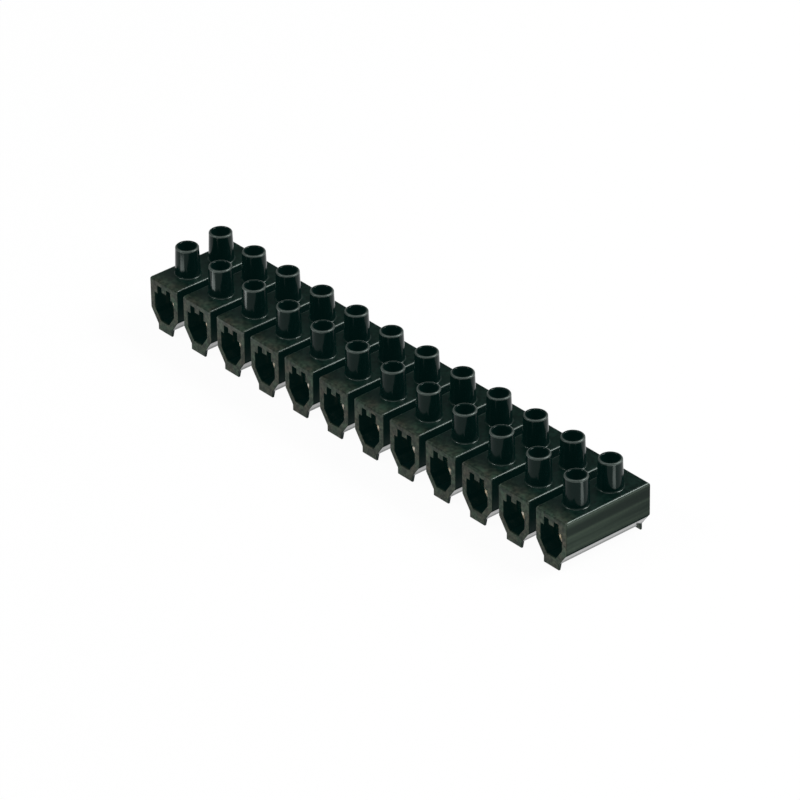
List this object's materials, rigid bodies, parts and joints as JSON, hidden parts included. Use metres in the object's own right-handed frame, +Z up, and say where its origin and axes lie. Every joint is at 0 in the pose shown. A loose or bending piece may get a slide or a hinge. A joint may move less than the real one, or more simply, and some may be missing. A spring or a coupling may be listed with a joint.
{
  "type": "terminal strip",
  "caption": "Black moulded terminal strip: a row of insulated poles with screw towers, brass clamps and set screws, wire mouths on both long sides, small feet below.",
  "frame": {"origin": "under the middle of the row, on the surface that the feet stand on", "axes": "+X along the row of poles, +Y from the front wire mouths to the rear ones, +Z up through the screw towers"},
  "size_m": [0.1182, 0.0206, 0.017],
  "materials": {
    "housing": "satin",
    "clamp": "satin",
    "screw": "satin"
  },
  "bodies": {
    "strip": {"housing": "housing", "clamp_01": "clamp", "clamp_02": "clamp", "clamp_03": "clamp", "clamp_04": "clamp", "clamp_05": "clamp", "clamp_06": "clamp", "clamp_07": "clamp", "clamp_08": "clamp", "clamp_09": "clamp", "clamp_10": "clamp", "clamp_11": "clamp", "clamp_12": "clamp"},
    "screw_front_01": {"screw_front_01": "screw"},
    "screw_front_02": {"screw_front_02": "screw"},
    "screw_front_03": {"screw_front_03": "screw"},
    "screw_front_04": {"screw_front_04": "screw"},
    "screw_front_05": {"screw_front_05": "screw"},
    "screw_front_06": {"screw_front_06": "screw"},
    "screw_front_07": {"screw_front_07": "screw"},
    "screw_front_08": {"screw_front_08": "screw"},
    "screw_front_09": {"screw_front_09": "screw"},
    "screw_front_10": {"screw_front_10": "screw"},
    "screw_front_11": {"screw_front_11": "screw"},
    "screw_front_12": {"screw_front_12": "screw"},
    "screw_rear_01": {"screw_rear_01": "screw"},
    "screw_rear_02": {"screw_rear_02": "screw"},
    "screw_rear_03": {"screw_rear_03": "screw"},
    "screw_rear_04": {"screw_rear_04": "screw"},
    "screw_rear_05": {"screw_rear_05": "screw"},
    "screw_rear_06": {"screw_rear_06": "screw"},
    "screw_rear_07": {"screw_rear_07": "screw"},
    "screw_rear_08": {"screw_rear_08": "screw"},
    "screw_rear_09": {"screw_rear_09": "screw"},
    "screw_rear_10": {"screw_rear_10": "screw"},
    "screw_rear_11": {"screw_rear_11": "screw"},
    "screw_rear_12": {"screw_rear_12": "screw"}
  },
  "joints": [
    {"name": "screw_front_01_travel", "type": "slide", "parent": "strip", "child": "screw_front_01", "axis": [0, 0, 1], "range_m": [-0.0027, 0.0008]},
    {"name": "screw_front_02_travel", "type": "slide", "parent": "strip", "child": "screw_front_02", "axis": [0, 0, 1], "range_m": [-0.0027, 0.0008]},
    {"name": "screw_front_03_travel", "type": "slide", "parent": "strip", "child": "screw_front_03", "axis": [0, 0, 1], "range_m": [-0.0027, 0.0008]},
    {"name": "screw_front_04_travel", "type": "slide", "parent": "strip", "child": "screw_front_04", "axis": [0, 0, 1], "range_m": [-0.0027, 0.0008]},
    {"name": "screw_front_05_travel", "type": "slide", "parent": "strip", "child": "screw_front_05", "axis": [0, 0, 1], "range_m": [-0.0027, 0.0008]},
    {"name": "screw_front_06_travel", "type": "slide", "parent": "strip", "child": "screw_front_06", "axis": [0, 0, 1], "range_m": [-0.0027, 0.0008]},
    {"name": "screw_front_07_travel", "type": "slide", "parent": "strip", "child": "screw_front_07", "axis": [0, 0, 1], "range_m": [-0.0027, 0.0008]},
    {"name": "screw_front_08_travel", "type": "slide", "parent": "strip", "child": "screw_front_08", "axis": [0, 0, 1], "range_m": [-0.0027, 0.0008]},
    {"name": "screw_front_09_travel", "type": "slide", "parent": "strip", "child": "screw_front_09", "axis": [0, 0, 1], "range_m": [-0.0027, 0.0008]},
    {"name": "screw_front_10_travel", "type": "slide", "parent": "strip", "child": "screw_front_10", "axis": [0, 0, 1], "range_m": [-0.0027, 0.0008]},
    {"name": "screw_front_11_travel", "type": "slide", "parent": "strip", "child": "screw_front_11", "axis": [0, 0, 1], "range_m": [-0.0027, 0.0008]},
    {"name": "screw_front_12_travel", "type": "slide", "parent": "strip", "child": "screw_front_12", "axis": [0, 0, 1], "range_m": [-0.0027, 0.0008]},
    {"name": "screw_rear_01_travel", "type": "slide", "parent": "strip", "child": "screw_rear_01", "axis": [0, 0, 1], "range_m": [-0.0027, 0.0008]},
    {"name": "screw_rear_02_travel", "type": "slide", "parent": "strip", "child": "screw_rear_02", "axis": [0, 0, 1], "range_m": [-0.0027, 0.0008]},
    {"name": "screw_rear_03_travel", "type": "slide", "parent": "strip", "child": "screw_rear_03", "axis": [0, 0, 1], "range_m": [-0.0027, 0.0008]},
    {"name": "screw_rear_04_travel", "type": "slide", "parent": "strip", "child": "screw_rear_04", "axis": [0, 0, 1], "range_m": [-0.0027, 0.0008]},
    {"name": "screw_rear_05_travel", "type": "slide", "parent": "strip", "child": "screw_rear_05", "axis": [0, 0, 1], "range_m": [-0.0027, 0.0008]},
    {"name": "screw_rear_06_travel", "type": "slide", "parent": "strip", "child": "screw_rear_06", "axis": [0, 0, 1], "range_m": [-0.0027, 0.0008]},
    {"name": "screw_rear_07_travel", "type": "slide", "parent": "strip", "child": "screw_rear_07", "axis": [0, 0, 1], "range_m": [-0.0027, 0.0008]},
    {"name": "screw_rear_08_travel", "type": "slide", "parent": "strip", "child": "screw_rear_08", "axis": [0, 0, 1], "range_m": [-0.0027, 0.0008]},
    {"name": "screw_rear_09_travel", "type": "slide", "parent": "strip", "child": "screw_rear_09", "axis": [0, 0, 1], "range_m": [-0.0027, 0.0008]},
    {"name": "screw_rear_10_travel", "type": "slide", "parent": "strip", "child": "screw_rear_10", "axis": [0, 0, 1], "range_m": [-0.0027, 0.0008]},
    {"name": "screw_rear_11_travel", "type": "slide", "parent": "strip", "child": "screw_rear_11", "axis": [0, 0, 1], "range_m": [-0.0027, 0.0008]},
    {"name": "screw_rear_12_travel", "type": "slide", "parent": "strip", "child": "screw_rear_12", "axis": [0, 0, 1], "range_m": [-0.0027, 0.0008]}
  ]
}
